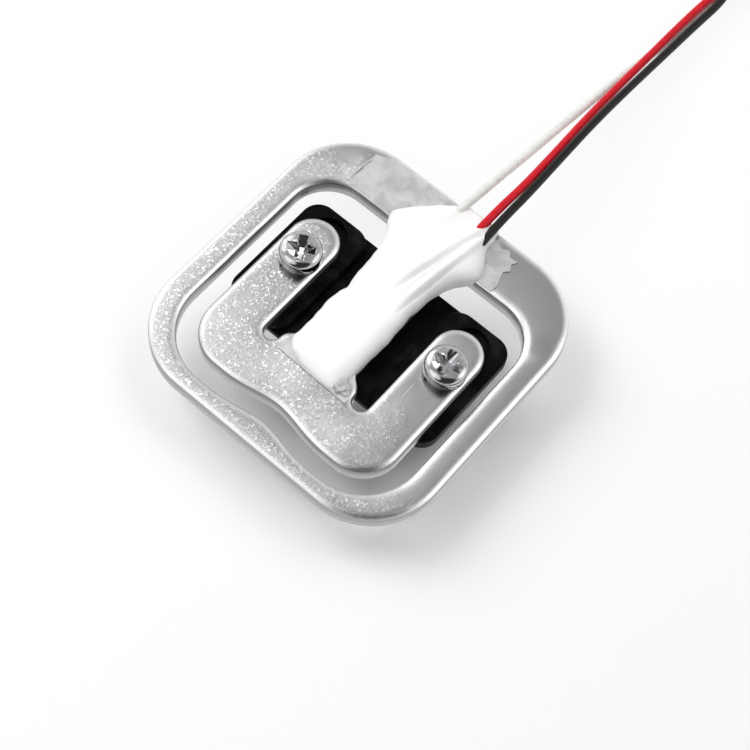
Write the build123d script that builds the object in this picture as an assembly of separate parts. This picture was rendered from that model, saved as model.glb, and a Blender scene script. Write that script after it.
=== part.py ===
from build123d import *
import math
import os

# Micro load cell: a stamped steel plate with a sprung tongue, a black foot screwed under its
# two arms, a strain gauge under white silicone, and three thin leads. Millimetres, +Z up.
# The foot stands on z = 0. +Y runs along the tongue towards the leads, and x = 0 is the
# middle of the tongue.

# Steel plate
plate_side = 34.0
plate_thickness = 1.8
plate_corner_radius = 8.0
edge_roll_radius = 0.4  # the punch rounds the upper edges
side_rail_width = 2.8  # ring, left and right
root_rail_width = 6.05  # ring, where the tongue is rooted
free_rail_width = 1.85  # ring, opposite the root
ring_gap = 2.15  # between the ring and the inner frame
root_window_radius = 4.6  # window corners beside the root
free_window_radius = 6.5  # window corners at the free rail
waist_depth = 0.85  # how far the free rail bulges inwards at its middle
waist_share = 0.83  # of the inner frame's straight edge that the bulge takes
tongue_half_width = 3.3
tongue_root_radius = 2.0
arm_width = 5.45
slot_end_y = -7.5
slot_end_radius = 0.92  # a slot ends in a half circle
flare_start_y = -4.0  # the tongue widens from here to its free end
arm_tip_y = 6.28

# Foot
foot_height = 3.5
pad_overhang = 1.05  # of a pad beyond the arm's outer side
pad_inner_overhang = 1.2  # of a pad beyond the arm's inner side
foot_far_y = 8.6
foot_near_y = -5.7
foot_corner_radius = 2.0
sole_thickness = 2.0
sole_inset = 1.3  # the sole is smaller than the flange above it
sole_corner_radius = 1.4
bridge_thickness = 0.6  # flange between the two pads, under the tongue
pad_edge_radius = 0.3
sole_edge_chamfer = 0.35
dimple_radius = 2.05  # round recess in a pad, beyond the arm's tip
dimple_depth = 0.7
dimple_y = 5.85

# Screws, lock washers and threaded inserts
screw_y = 1.25
screw_offset_x = 0.35  # both screws stand this far right of their arm's middle
screw_size = 2.4  # shank, over the thread
screw_length = 5.0  # below the head
head_diameter = 4.4
head_height = 1.6
head_dome = 0.45  # how far the head's crown rises above its edge
recess_width = 0.85
recess_span = 2.9
recess_turn = 20.0  # degrees
recess_depth = 1.0
washer_wire_width = 0.8
washer_clearance = 0.15  # round the shank
washer_thickness = 0.6
washer_split = 0.35
washer_split_angle = -115.0  # degrees, from +X
plate_hole_clearance = 0.25  # round the shank
thread_clearance = 0.05
insert_wall = 0.65
insert_length = 2.5
insert_recess = 0.1  # below the pad's top
insert_groove_depth = 0.2
insert_groove_width = 0.5
insert_bore_floor = 0.3  # plastic left under the insert, above the sole's face

# Strain gauge
gauge_width = 4.8
gauge_length = 9.4
gauge_far_y = 4.8
film_thickness = 0.1
foil_thickness = 0.05
foil_margin = 0.45
grid_strands = 6
strand_width = 0.3
grid_length = 2.9
grid_spacing = 0.5
tab_length = 1.1
tab_width = 1.1
tab_pitch = 1.6

# Silicone over the gauge, the solder joints and the leads, as cross sections along the tongue:
# y, left and right edge, and height above the plate. On the ring, y is from the plate's edge.
coat_skirt = 0.55  # how far the silicone runs down the tongue's sides
coat_squareness = 3.2  # 2 is an ellipse, more has a flatter top
coat_sections = [
    (-7.55, -1.70, 2.70, 0.25),
    (-7.00, -2.80, 3.05, 0.70),
    (-6.30, -3.50, 3.25, 0.92),
    (-5.00, -3.80, 3.45, 1.10),
    (-2.00, -3.75, 3.45, 1.20),
    (1.00, -3.60, 3.45, 1.20),
    (3.50, -3.75, 3.40, 1.30),
    (6.50, -3.85, 3.50, 1.60),
    (9.00, -4.40, 4.30, 1.75),
]
ring_coat_sections = [
    (-5.70, -5.70, 5.75, 1.75),
    (-3.70, -4.50, 5.35, 1.60),
    (-2.20, -3.10, 4.70, 1.38),
    (-1.00, -1.90, 4.35, 1.05),
    (0.15, -0.90, 3.90, 0.50),
]

# Clear adhesive that spread out round the silicone
adhesive_thickness = 0.1
frame_patches = [
    (-4.0, -7.75, 4.6, -6.3, 0.1),
]
ring_patches = [
    (-9.7, -5.5, -3.0, -1.8, 1.0),
    (3.0, -5.5, 7.3, -1.4, 1.0),
]

# Leads
wire_diameter = 0.9
core_diameter = 0.5
bare_length = 2.5
stub_near_y = 5.2  # where a lead's insulation ends, inside the silicone
stub_near_lift = 0.6  # lead's centre above the plate there
stub_straight = 2.2
stub_bend_run = 2.2
solder_radius = 0.65
solder_height = 0.6
coil_outer_radius = 7.3  # centre line of the outermost turn
coil_turns = 4.0
turn_pitch = 0.95
layer_pitch = 0.93
coil_thickness = 0.86  # of one layer
coil_margin = 0.03  # round the outermost turn
coil_reach = 53.0  # of the coil's middle beyond the plate's far edge
coil_tail = 4.2  # straight run into the coil
coil_entry_x = 2.5  # the routes end on this line
notch_angle = 60.0  # degrees of the innermost turn that is left free for the bare end

coil_start = coil_reach - coil_tail

# Each lead's route, from where it leaves the silicone to where it runs into its coil:
# x, distance beyond the plate's far edge, height above the floor
red_route = [
    (2.47, -2.05, 6.20),
    (2.44, 1.60, 6.18),
    (2.52, 5.90, 5.65),
    (2.22, 11.40, 4.70),
    (1.75, 18.10, 3.50),
    (1.52, 25.30, 2.40),
    (1.46, 32.10, 1.65),
    (1.50, 37.70, 1.40),
    (1.72, 42.40, 1.30),
    (coil_entry_x, 46.00, 1.38),
    (coil_entry_x, coil_start, 1.38),
]
white_route = [
    (-0.45, -1.20, 6.10),
    (-0.22, 1.60, 5.95),
    (-0.10, 5.40, 5.30),
    (0.05, 10.20, 4.20),
    (0.10, 15.60, 3.00),
    (0.28, 20.50, 2.00),
    (0.45, 25.20, 1.20),
    (0.90, 30.20, 0.62),
    (1.60, 35.00, 0.46),
    (2.12, 40.20, 0.46),
    (coil_entry_x, 45.00, 0.45),
    (coil_entry_x, coil_start, 0.45),
]
black_route = [
    (3.55, -2.40, 6.00),
    (3.46, 0.90, 6.15),
    (3.50, 5.20, 6.00),
    (3.13, 11.50, 5.10),
    (2.76, 18.60, 4.10),
    (2.66, 25.80, 3.00),
    (2.72, 32.40, 2.15),
    (2.84, 38.20, 1.75),
    (3.20, 42.80, 1.95),
    (coil_entry_x, 46.20, 2.31),
    (coil_entry_x, coil_start, 2.31),
]

# Places worked out from the sizes above
half_side = plate_side / 2
plate_bottom = foot_height
plate_top = plate_bottom + plate_thickness
window_half_width = half_side - side_rail_width
window_far_y = half_side - root_rail_width
window_near_y = -half_side + free_rail_width
frame_half_width = window_half_width - ring_gap
frame_near_y = window_near_y + ring_gap
frame_corner_radius = free_window_radius - ring_gap
waist_half_length = waist_share * (frame_half_width - frame_corner_radius)
arm_inner_x = frame_half_width - arm_width
slot_inner_x = arm_inner_x - 2 * slot_end_radius
slot_end_middle_y = slot_end_y + slot_end_radius
arm_middle_x = frame_half_width - arm_width / 2
screw_places = [side * arm_middle_x + screw_offset_x for side in (-1, 1)]
washer_bore = screw_size + 2 * washer_clearance
washer_outer_diameter = washer_bore + 2 * washer_wire_width
washer_top = plate_top + washer_thickness
plate_hole_diameter = screw_size + 2 * plate_hole_clearance
foot_half_width = frame_half_width + pad_overhang
pad_inner_x = arm_inner_x - pad_inner_overhang
bridge_top = sole_thickness + bridge_thickness
insert_bore = screw_size + 2 * thread_clearance
insert_diameter = insert_bore + 2 * insert_wall
coil_inner_radius = coil_outer_radius - coil_turns * turn_pitch
coil_centre = (coil_entry_x - coil_outer_radius, half_side + coil_reach)
wire_radius = wire_diameter / 2
gauge_near_y = gauge_far_y - gauge_length
film_top = plate_top + film_thickness
foil_top = film_top + foil_thickness
tab_y = gauge_far_y - foil_margin - tab_length / 2


def post(radius, low, high, x=0.0, y=0.0):
    """An upright cylinder."""
    return Pos(x, y, low) * Cylinder(
        radius, high - low, align=(Align.CENTER, Align.CENTER, Align.MIN)
    )


def slab(outline, low, high):
    """A flat outline given a thickness."""
    return Pos(0, 0, low) * extrude(outline, high - low)


def rounded_outline(left, near, right, far, radius):
    """A rectangle with round corners."""
    return Pos((left + right) / 2, (near + far) / 2) * RectangleRounded(
        right - left, far - near, radius
    )


def tube_along(path, radius):
    """A round solid that follows a path."""
    start = Plane(path @ 0, z_dir=path % 0)
    return sweep(start * Circle(radius), path)


def beyond_plate(route):
    """A route's points, in the part's own frame."""
    return [(x, half_side + beyond, z) for x, beyond, z in route]


def bent_path(points):
    """Straight runs joined by arcs as large as the runs allow, and the arcs' radii."""
    radii = []
    for before, corner, after in zip(points, points[1:], points[2:]):
        run_in = Vector(*corner) - Vector(*before)
        run_out = Vector(*after) - Vector(*corner)
        half_turn = math.radians(run_in.get_angle(run_out)) / 2
        radii.append(0.45 * min(run_in.length, run_out.length) / math.tan(half_turn))
    return FilletPolyline(*points, radius=radii), radii


def waisted_outline(half_width, near_y, far_y, radius, waist):
    """The lower part of the window or of the inner frame, with its waist."""
    waist_start = (-waist_half_length, near_y)
    waist_top = (0, near_y + waist)
    waist_end = (waist_half_length, near_y)
    corner = radius * (1 - math.sqrt(0.5))
    with BuildSketch() as outline:
        with BuildLine():
            Line((-half_width, far_y), (-half_width, near_y + radius))
            ThreePointArc(
                (-half_width, near_y + radius),
                (-half_width + corner, near_y + corner),
                (-half_width + radius, near_y),
            )
            Line((-half_width + radius, near_y), waist_start)
            Spline(waist_start, waist_top, waist_end, tangents=[(1, 0), (1, 0)])
            Line(waist_end, (half_width - radius, near_y))
            ThreePointArc(
                (half_width - radius, near_y),
                (half_width - corner, near_y + corner),
                (half_width, near_y + radius),
            )
            Line((half_width, near_y + radius), (half_width, far_y))
            Line((half_width, far_y), (-half_width, far_y))
        make_face()
    return outline.sketch


def slot_outline():
    """The free space between the tongue and the right arm, down to the slot's round end."""
    far_y = arm_tip_y
    with BuildSketch() as outline:
        with BuildLine():
            Line((tongue_half_width, far_y), (tongue_half_width, flare_start_y))
            Spline(
                (tongue_half_width, flare_start_y),
                (slot_inner_x, slot_end_middle_y),
                tangents=[(0, -1), (0, -1)],
            )
            ThreePointArc(
                (slot_inner_x, slot_end_middle_y),
                (slot_inner_x + slot_end_radius, slot_end_y),
                (arm_inner_x, slot_end_middle_y),
            )
            Line((arm_inner_x, slot_end_middle_y), (arm_inner_x, far_y))
            Line((arm_inner_x, far_y), (tongue_half_width, far_y))
        make_face()
    return outline.sketch


def make_sensor_plate():
    """Ring, tongue and inner frame, stamped from one piece of steel."""
    ring = RectangleRounded(plate_side, plate_side, plate_corner_radius)
    middle_y = 0.0
    window = waisted_outline(
        window_half_width, window_near_y, middle_y, free_window_radius, waist_depth
    )
    window += rounded_outline(
        -window_half_width,
        middle_y - root_window_radius,
        window_half_width,
        window_far_y,
        root_window_radius,
    )
    frame = waisted_outline(
        frame_half_width,
        frame_near_y,
        arm_tip_y - arm_width / 2,
        frame_corner_radius,
        waist_depth,
    )
    for side in (-1, 1):
        frame += Pos(side * arm_middle_x, arm_tip_y - arm_width / 2) * Circle(arm_width / 2)
    slot = slot_outline()
    frame -= slot
    frame -= mirror(slot, Plane.YZ)
    tongue = Pos(0, window_far_y / 2) * Rectangle(2 * tongue_half_width, window_far_y + 2)
    shape = ring - window + frame + tongue
    root_corners = [
        corner
        for corner in shape.vertices()
        if abs(abs(corner.X) - tongue_half_width) < 1e-3 and corner.Y > arm_tip_y
    ]
    shape = fillet(root_corners, tongue_root_radius)
    for x in screw_places:
        shape -= Pos(x, screw_y) * Circle(plate_hole_diameter / 2)
    plate = slab(shape, plate_bottom, plate_top)
    upper_edges = plate.faces().sort_by(Axis.Z)[-1].edges()
    return fillet(upper_edges, edge_roll_radius)


def make_foot():
    """Moulded foot: a sole, a flange that bridges under the tongue, and two pads."""
    sole = slab(
        rounded_outline(
            -foot_half_width + sole_inset,
            foot_near_y + sole_inset,
            foot_half_width - sole_inset,
            foot_far_y - sole_inset,
            sole_corner_radius,
        ),
        0,
        sole_thickness,
    )
    sole = chamfer(sole.faces().sort_by(Axis.Z)[0].edges(), sole_edge_chamfer)
    flange = slab(
        rounded_outline(
            -foot_half_width, foot_near_y, foot_half_width, foot_far_y, foot_corner_radius
        ),
        sole_thickness,
        bridge_top,
    )
    foot = sole + flange
    for side in (-1, 1):
        inner, outer = sorted((side * pad_inner_x, side * foot_half_width))
        pad = slab(
            rounded_outline(inner, foot_near_y, outer, foot_far_y, foot_corner_radius),
            bridge_top,
            foot_height,
        )
        pad = fillet(pad.faces().sort_by(Axis.Z)[-1].edges(), pad_edge_radius)
        pad -= post(
            dimple_radius, foot_height - dimple_depth, foot_height, side * arm_middle_x, dimple_y
        )
        foot += pad
    for x in screw_places:
        foot -= post(insert_diameter / 2, insert_bore_floor, foot_height, x, screw_y)
    return foot


def make_insert(x):
    """Brass threaded insert, pressed into a pad."""
    top = foot_height - insert_recess
    bottom = top - insert_length
    insert = post(insert_diameter / 2, bottom, top, x, screw_y)
    groove_middle = (top + bottom) / 2
    groove = post(
        insert_diameter / 2,
        groove_middle - insert_groove_width / 2,
        groove_middle + insert_groove_width / 2,
        x,
        screw_y,
    )
    groove -= post(
        insert_diameter / 2 - insert_groove_depth,
        groove_middle - insert_groove_width / 2,
        groove_middle + insert_groove_width / 2,
        x,
        screw_y,
    )
    return insert - groove - post(insert_bore / 2, bottom, top, x, screw_y)


def make_screw(x):
    """Pan head machine screw with a cross recess."""
    edge_top = washer_top + head_height - head_dome
    crown = washer_top + head_height
    head_radius = head_diameter / 2
    with BuildSketch(Plane.XZ) as profile:
        with BuildLine():
            Line((0, washer_top), (head_radius, washer_top))
            Line((head_radius, washer_top), (head_radius, edge_top))
            ThreePointArc(
                (head_radius, edge_top),
                (head_radius * 0.62, edge_top + head_dome * 0.72),
                (0, crown),
            )
            Line((0, crown), (0, washer_top))
        make_face()
    head = Pos(x, screw_y, 0) * revolve(profile.sketch, Axis.Z)
    screw = head + post(
        screw_size / 2, washer_top - screw_length, washer_top, x, screw_y
    )
    recess_floor = crown - recess_depth
    for turn in (0, 90):
        slot = Pos(x, screw_y, recess_floor) * Rot(0, 0, turn + recess_turn) * Box(
            recess_span,
            recess_width,
            recess_depth + head_dome,
            align=(Align.CENTER, Align.CENTER, Align.MIN),
        )
        screw -= slot
    return screw


def make_lock_washer(x):
    """Split spring washer under a screw's head."""
    washer = post(washer_outer_diameter / 2, plate_top, washer_top, x, screw_y)
    washer -= post(washer_bore / 2, plate_top, washer_top, x, screw_y)
    split = Pos(x, screw_y, plate_top) * Rot(0, 0, washer_split_angle) * Box(
        washer_outer_diameter,
        washer_split,
        washer_thickness,
        align=(Align.MIN, Align.CENTER, Align.MIN),
    )
    return washer - split


def make_gauge_film():
    """Polyimide film that carries the two strain grids, glued to the tongue."""
    return slab(
        rounded_outline(
            -gauge_width / 2, gauge_near_y, gauge_width / 2, gauge_far_y, foil_margin
        ),
        plate_top,
        film_top,
    )


def make_gauge_foil():
    """Two etched strain grids in series, with three solder tabs."""
    grid_width = gauge_width - 2 * foil_margin
    pitch = (grid_width - strand_width) / (grid_strands - 1)
    left = -grid_width / 2
    tab_near_y = tab_y - tab_length / 2
    foil = Sketch()
    grid_far_y = tab_near_y - grid_spacing
    for _ in range(2):
        grid_near_y = grid_far_y - grid_length
        for strand in range(grid_strands):
            x = left + strand_width / 2 + strand * pitch
            foil += Pos(x, (grid_near_y + grid_far_y) / 2) * Rectangle(
                strand_width, grid_length
            )
            if strand < grid_strands - 1:
                loop_y = grid_near_y if strand % 2 == 0 else grid_far_y
                inward = strand_width / 2 if strand % 2 == 0 else -strand_width / 2
                foil += Pos(x + pitch / 2, loop_y + inward) * Rectangle(
                    pitch + strand_width, strand_width
                )
        grid_far_y = grid_near_y - grid_spacing
    first_far_y = tab_near_y - grid_spacing
    second_far_y = first_far_y - grid_length - grid_spacing
    link_x = left + strand_width / 2
    foil += Pos(link_x, (first_far_y + second_far_y) / 2) * Rectangle(
        strand_width, first_far_y - second_far_y
    )
    for tab in (-1, 0, 1):
        foil += Pos(tab * tab_pitch, tab_y) * Rectangle(tab_width, tab_length)
    for x in (-tab_pitch, pitch / 2, tab_pitch):
        foil += Pos(x, (tab_near_y + first_far_y) / 2) * Rectangle(
            strand_width, grid_spacing + strand_width
        )
    return slab(foil, film_top, foil_top)


def stub_points(route, tab):
    """A lead's route inside the silicone, from its stripped end to where it leaves."""
    leaving = Vector(*route[0])
    first_run = (Vector(*route[1]) - leaving).normalized()
    lift = plate_top + stub_near_lift
    start = Vector(tab * tab_pitch, stub_near_y, lift)
    straight_end = Vector(tab * tab_pitch, stub_near_y + stub_straight, lift)
    corner = leaving - first_run * stub_bend_run
    return [tuple(point) for point in (start, straight_end, corner, leaving)]


def make_inner_lead(route, tab):
    """The insulated stretch of a lead inside the silicone."""
    path, _ = bent_path(stub_points(route, tab))
    return tube_along(path, wire_radius)


def make_solder_joint(tab):
    """A lead's stripped and tinned end, soldered to its tab."""
    x = tab * tab_pitch
    dome = post(solder_radius, foil_top, foil_top + solder_height, x, tab_y)
    dome = fillet(dome.faces().sort_by(Axis.Z)[-1].edges(), solder_height * 0.8)
    strands = Plane((x, stub_near_y, plate_top + stub_near_lift), z_dir=(0, -1, 0))
    strands *= Cylinder(
        core_diameter / 2,
        stub_near_y - tab_y,
        align=(Align.CENTER, Align.CENTER, Align.MIN),
    )
    return dome + strands


def coat_section(y, left, right, height):
    """One cross section of the silicone: a flattened arch with a straight foot."""
    low = plate_top - coat_skirt
    middle = (left + right) / 2
    arch = []
    for step in range(9):
        angle = math.pi * (8 - step) / 8
        across = math.copysign(abs(math.cos(angle)) ** (2 / coat_squareness), math.cos(angle))
        up = abs(math.sin(angle)) ** (2 / coat_squareness)
        arch.append(
            (middle + (right - left) / 2 * across, low + (height + coat_skirt) * up)
        )
    with BuildSketch(Plane.XZ.offset(-y)) as section:
        with BuildLine():
            Spline(*arch, tangents=[(0, 1), (0, -1)])
            Line(arch[-1], arch[0])
        make_face()
    return section.sketch


def make_silicone(enclosed):
    """White silicone brushed over the gauge, the joints, the leads and the tongue's root."""
    stations = [coat_section(*section) for section in coat_sections]
    for beyond, left, right, height in ring_coat_sections:
        stations.append(coat_section(half_side + beyond, left, right, height))
    silicone = loft(stations)
    for piece in enclosed:
        silicone -= piece
    return silicone


def make_adhesive(silicone):
    """Patches of clear adhesive beside the silicone, on the frame and on the ring."""
    film = Sketch()
    for left, near, right, far, radius in frame_patches:
        film += rounded_outline(left, near, right, far, radius)
    for left, near, right, far, radius in ring_patches:
        film += rounded_outline(left, half_side + near, right, half_side + far, radius)
    return slab(film, plate_top, plate_top + adhesive_thickness) - silicone


def make_wire(route):
    """A lead from the silicone to its coil."""
    path, radii = bent_path(route)
    return tube_along(path, wire_radius), path, radii


def make_coil(layer):
    """A lead's put-away length: a flat coil in one layer, with the run into it."""
    middle = wire_radius + layer * layer_pitch
    low = middle - coil_thickness / 2
    high = middle + coil_thickness / 2
    x, y = coil_centre
    coil = post(coil_outer_radius + wire_radius + coil_margin, low, high, x, y)
    coil -= post(coil_inner_radius - wire_radius, low, high, x, y)
    notch = post(coil_inner_radius + turn_pitch / 2, low, high, x, y)
    notch &= Pos(x, y, low) * extrude(
        make_face(
            Polyline(
                (0, 0),
                (2 * coil_outer_radius, 0),
                (
                    2 * coil_outer_radius * math.cos(math.radians(notch_angle)),
                    2 * coil_outer_radius * math.sin(math.radians(notch_angle)),
                ),
                (0, 0),
            )
        ),
        high - low,
    )
    coil -= notch
    tail = Pos(x + coil_outer_radius, y - coil_tail, middle) * Rot(-90, 0, 0) * Cylinder(
        wire_radius, coil_tail, align=(Align.CENTER, Align.CENTER, Align.MIN)
    )
    return coil + tail


def make_bare_end(layer):
    """The stripped and tinned far end of a lead, inside its coil."""
    middle = wire_radius + layer * layer_pitch
    x, y = coil_centre
    angle = math.degrees(bare_length / coil_inner_radius)
    arc = CenterArc((x, y, middle), coil_inner_radius, 0, angle)
    return tube_along(arc, core_diameter / 2)


def main():
    os.makedirs("parts", exist_ok=True)
    plate = make_sensor_plate()
    parts = {"sensor_plate": plate, "foot": make_foot()}
    for name, x in zip(("left", "right"), screw_places):
        parts["screw_" + name] = make_screw(x)
        parts["lock_washer_" + name] = make_lock_washer(x)
        parts["threaded_insert_" + name] = make_insert(x)
    parts["gauge_film"] = make_gauge_film()
    parts["gauge_foil"] = make_gauge_foil()
    leads = (
        ("white", beyond_plate(white_route), -1, 0),
        ("red", beyond_plate(red_route), 0, 1),
        ("black", beyond_plate(black_route), 1, 2),
    )
    for name, route, tab, layer in leads:
        parts["solder_joint_" + name] = make_solder_joint(tab)
        parts["inner_lead_" + name] = make_inner_lead(route, tab)
        wire, path, radii = make_wire(route)
        parts["wire_" + name] = wire
        parts["wire_coil_" + name] = make_coil(layer)
        parts["bare_end_" + name] = make_bare_end(layer)
        section = math.pi * wire_radius**2
        print(name, "arc radii", [round(radius, 1) for radius in radii])
        print(name, "volume", round(wire.volume, 4), "of", round(section * path.length, 4))
    enclosed = [plate, parts["gauge_film"], parts["gauge_foil"]]
    for kind in ("solder_joint_", "inner_lead_", "wire_"):
        enclosed += [parts[kind + name] for name, _, _, _ in leads]
    parts["silicone_coat"] = make_silicone(enclosed)
    parts["adhesive_film"] = make_adhesive(parts["silicone_coat"])
    for name, solid in parts.items():
        export_step(solid, "parts/" + name + ".step")


main()
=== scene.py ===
# %% [markdown]
# # A micro load cell, dressed over its CAD model
# A load cell of this kind is a flat steel plate, a plastic foot screwed under it, and a strain
# gauge that is sealed under white silicone. The CAD model gives every size and place. This
# lesson loads it, adds the pieces that need a freer hand, and gives each surface its finish.

# %% Load the frame
import bpy
import math
from mathutils import Matrix, Vector, noise


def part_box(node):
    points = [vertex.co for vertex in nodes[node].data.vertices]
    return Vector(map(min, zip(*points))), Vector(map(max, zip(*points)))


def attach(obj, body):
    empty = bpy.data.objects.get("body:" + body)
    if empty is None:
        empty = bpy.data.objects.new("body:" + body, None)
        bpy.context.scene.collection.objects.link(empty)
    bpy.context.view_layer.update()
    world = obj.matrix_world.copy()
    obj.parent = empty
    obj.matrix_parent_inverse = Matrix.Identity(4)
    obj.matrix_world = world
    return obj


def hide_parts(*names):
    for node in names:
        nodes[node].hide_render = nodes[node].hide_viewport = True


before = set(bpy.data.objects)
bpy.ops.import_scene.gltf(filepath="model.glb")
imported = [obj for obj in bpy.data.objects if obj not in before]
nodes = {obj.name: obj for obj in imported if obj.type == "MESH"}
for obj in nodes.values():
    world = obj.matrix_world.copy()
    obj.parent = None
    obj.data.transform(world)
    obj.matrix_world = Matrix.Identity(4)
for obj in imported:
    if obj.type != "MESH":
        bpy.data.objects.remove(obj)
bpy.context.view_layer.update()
MM = 0.001

# %% [markdown]
# ## Sizes that the new pieces need
# They are read from the CAD nodes' boxes, so that a new piece sits where its node does.

# %% Read the sizes
plate_low, plate_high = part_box("sensor_plate")
plate_bottom = plate_low.z / MM
plate_top = plate_high.z / MM
half_side = plate_high.x / MM
washer_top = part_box("lock_washer_left")[1].z / MM
screw_low, screw_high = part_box("screw_left")
head_radius = (screw_high.x - screw_low.x) / 2 / MM
head_height = screw_high.z / MM - washer_top
screw_places = {
    name: sum(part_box("lock_washer_" + name), Vector()) / 2 / MM for name in ("left", "right")
}
print("plate from", round(plate_bottom, 2), "to", round(plate_top, 2), "mm")

# %% [markdown]
# ## The camera
# It stands where the photograph's did: high over the corner at +X and -Y, turned about ten
# degrees. It could be placed by eye, but its place was found by fitting the plate's corners,
# window and screws, so that each piece can be compared with the photograph.

# %% Set the camera
azimuth, elevation, roll = (math.radians(angle) for angle in (31.444, 64.884, 9.683))
aim = Vector((4.849, -3.574, plate_top))
distance = 154.892
focal_length, sensor_width = 76.955, 36
back = Vector((math.sin(azimuth) * math.cos(elevation),
               -math.cos(azimuth) * math.cos(elevation), math.sin(elevation)))
level_right = Vector((math.cos(azimuth), math.sin(azimuth), 0))
level_up = back.cross(level_right)
camera_right = level_right * math.cos(roll) + level_up * math.sin(roll)
camera_up = level_up * math.cos(roll) - level_right * math.sin(roll)
bpy.ops.object.camera_add()
camera = bpy.context.object
camera.name = "camera"
camera.matrix_world = Matrix.Translation((aim + back * distance) * MM) @ Matrix(
    (camera_right, camera_up, back)).transposed().to_4x4()
camera.data.sensor_width = sensor_width
camera.data.lens = focal_length
camera.data.clip_start = 0.005
bpy.context.scene.camera = camera
print("camera", round(distance), "mm away")

# %% [markdown]
# ## Small helpers for objects
# A maker repeats the same few moves: pick one object, apply its modifiers, fix its place in
# its mesh, and hand it over with the node that it stands for and its finish. An operator acts
# on all that is selected, so every move starts by selecting only what it is meant for.

# %% Helpers for objects
def pick(*objects):
    """Selects only these objects, the first one active."""
    if bpy.context.object and bpy.context.object.mode != "OBJECT":
        bpy.ops.object.mode_set(mode="OBJECT")
    bpy.ops.object.select_all(action="DESELECT")
    for each in objects:
        each.select_set(True)
    bpy.context.view_layer.objects.active = objects[0]


def finish_shape(piece, name, smooth_angle=35):
    """Applies a piece's modifiers and its place, and shades it smooth between sharp edges."""
    pick(piece)
    for modifier in list(piece.modifiers):
        bpy.ops.object.modifier_apply(modifier=modifier.name)
    bpy.ops.object.transform_apply(location=True, rotation=True, scale=True)
    bpy.ops.object.shade_smooth_by_angle(angle=math.radians(smooth_angle))
    piece.name = name
    piece.data.name = name
    return piece


def hand_over(piece, material, slot, *replaced):
    """Gives a piece its finish and its body, and hides the CAD nodes that it stands for."""
    piece.data.materials.clear()
    piece.data.materials.append(material)
    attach(piece, "root")
    if replaced:
        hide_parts(*replaced)
    if piece.type == "MESH":
        print(piece.name, len(piece.data.polygons), "faces")
    return piece


def merged_copy(node, name, smooth_angle=30):
    """A copy of a CAD node's mesh with its doubled points merged, so that it can be smooth."""
    copy = bpy.data.objects.new(name, nodes[node].data.copy())
    bpy.context.scene.collection.objects.link(copy)
    pick(copy)
    bpy.ops.object.mode_set(mode="EDIT")
    bpy.ops.mesh.select_all(action="SELECT")
    bpy.ops.mesh.remove_doubles(threshold=0.001 * MM)
    bpy.ops.object.mode_set(mode="OBJECT")
    return finish_shape(copy, name, smooth_angle)


# %% [markdown]
# ## Small helpers for materials
# Colours are written as the hex codes that a colour picker gives, and Blender mixes linear
# light, so one function turns the one into the other. One more adds a node with its settings
# and links. Patterns are sized in millimetres, and per_mm turns a size into a scale.

# %% Helpers for materials
def linear(code, alpha=1.0):
    """A colour as Blender mixes it, from its sRGB hex code."""
    channels = [int(code[i:i + 2], 16) / 255 for i in (1, 3, 5)]
    return [c / 12.92 if c <= 0.04045 else ((c + 0.055) / 1.055) ** 2.4
            for c in channels] + [alpha]


def add_node(tree, kind, settings=None, sockets=None):
    """Adds a node. A socket's value is a constant, or another node's output to link."""
    node = tree.nodes.new(kind)
    for key, value in (settings or {}).items():
        setattr(node, key, value)
    for key, value in (sockets or {}).items():
        if isinstance(value, bpy.types.NodeSocket):
            tree.links.new(value, node.inputs[key])
        else:
            node.inputs[key].default_value = value
    return node


def new_material(name):
    """A material with its node tree, its shader and the object's own coordinates."""
    material = bpy.data.materials.new(name)
    material.use_nodes = True
    tree = material.node_tree
    shader = tree.nodes["Principled BSDF"]
    place = add_node(tree, "ShaderNodeTexCoord").outputs["Object"]
    return material, tree, shader, place


def per_mm(size):
    """A pattern's scale, on coordinates in metres, for marks of this size in millimetres."""
    return 1 / (size * MM)


# %% [markdown]
# ## Stamped steel: how tumbled each place is
# The plate is spring steel with a thin tumbled plating. Tumbling leaves a skin of tiny
# overlapping dents that glint. They are dense towards the corner at -X and -Y, and the opposite
# side is rubbed almost smooth. A picture could hold that, but noise on the object's own
# coordinates has no seams. A broad noise with a slope across the plate says how worn a place is.

# %% Wear of the plate
steel, tree, shader, place = new_material("tumbled_plated_steel")
facing = add_node(tree, "ShaderNodeTexCoord").outputs["Normal"]
facing_up = add_node(tree, "ShaderNodeSeparateXYZ", None, {0: facing}).outputs["Z"]
flat = add_node(tree, "ShaderNodeMapRange", None,
                {"Value": facing_up, "From Min": 0.90, "From Max": 0.995})
worn_areas = add_node(tree, "ShaderNodeTexNoise", None,
                      {"Vector": place, "Scale": per_mm(3.5), "Detail": 3.0, "Roughness": 0.55})
side_share = add_node(tree, "ShaderNodeVectorMath", {"operation": "DOT_PRODUCT"},
                      {0: place, 1: (-0.016 / MM, -0.020 / MM, 0)})
wear = add_node(tree, "ShaderNodeMath", {"operation": "ADD"},
                {0: worn_areas.outputs["Fac"], 1: side_share.outputs["Value"]})
tumbled = add_node(tree, "ShaderNodeMapRange", None,
                   {"Value": wear.outputs[0], "From Min": 0.42, "From Max": 0.66,
                    "To Min": 0.05, "To Max": 1.0})
amount = add_node(tree, "ShaderNodeMath", {"operation": "MULTIPLY"},
                  {0: tumbled.outputs["Result"], 1: flat.outputs["Result"]})
print(steel.name, "is most tumbled at -X and -Y")
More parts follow.
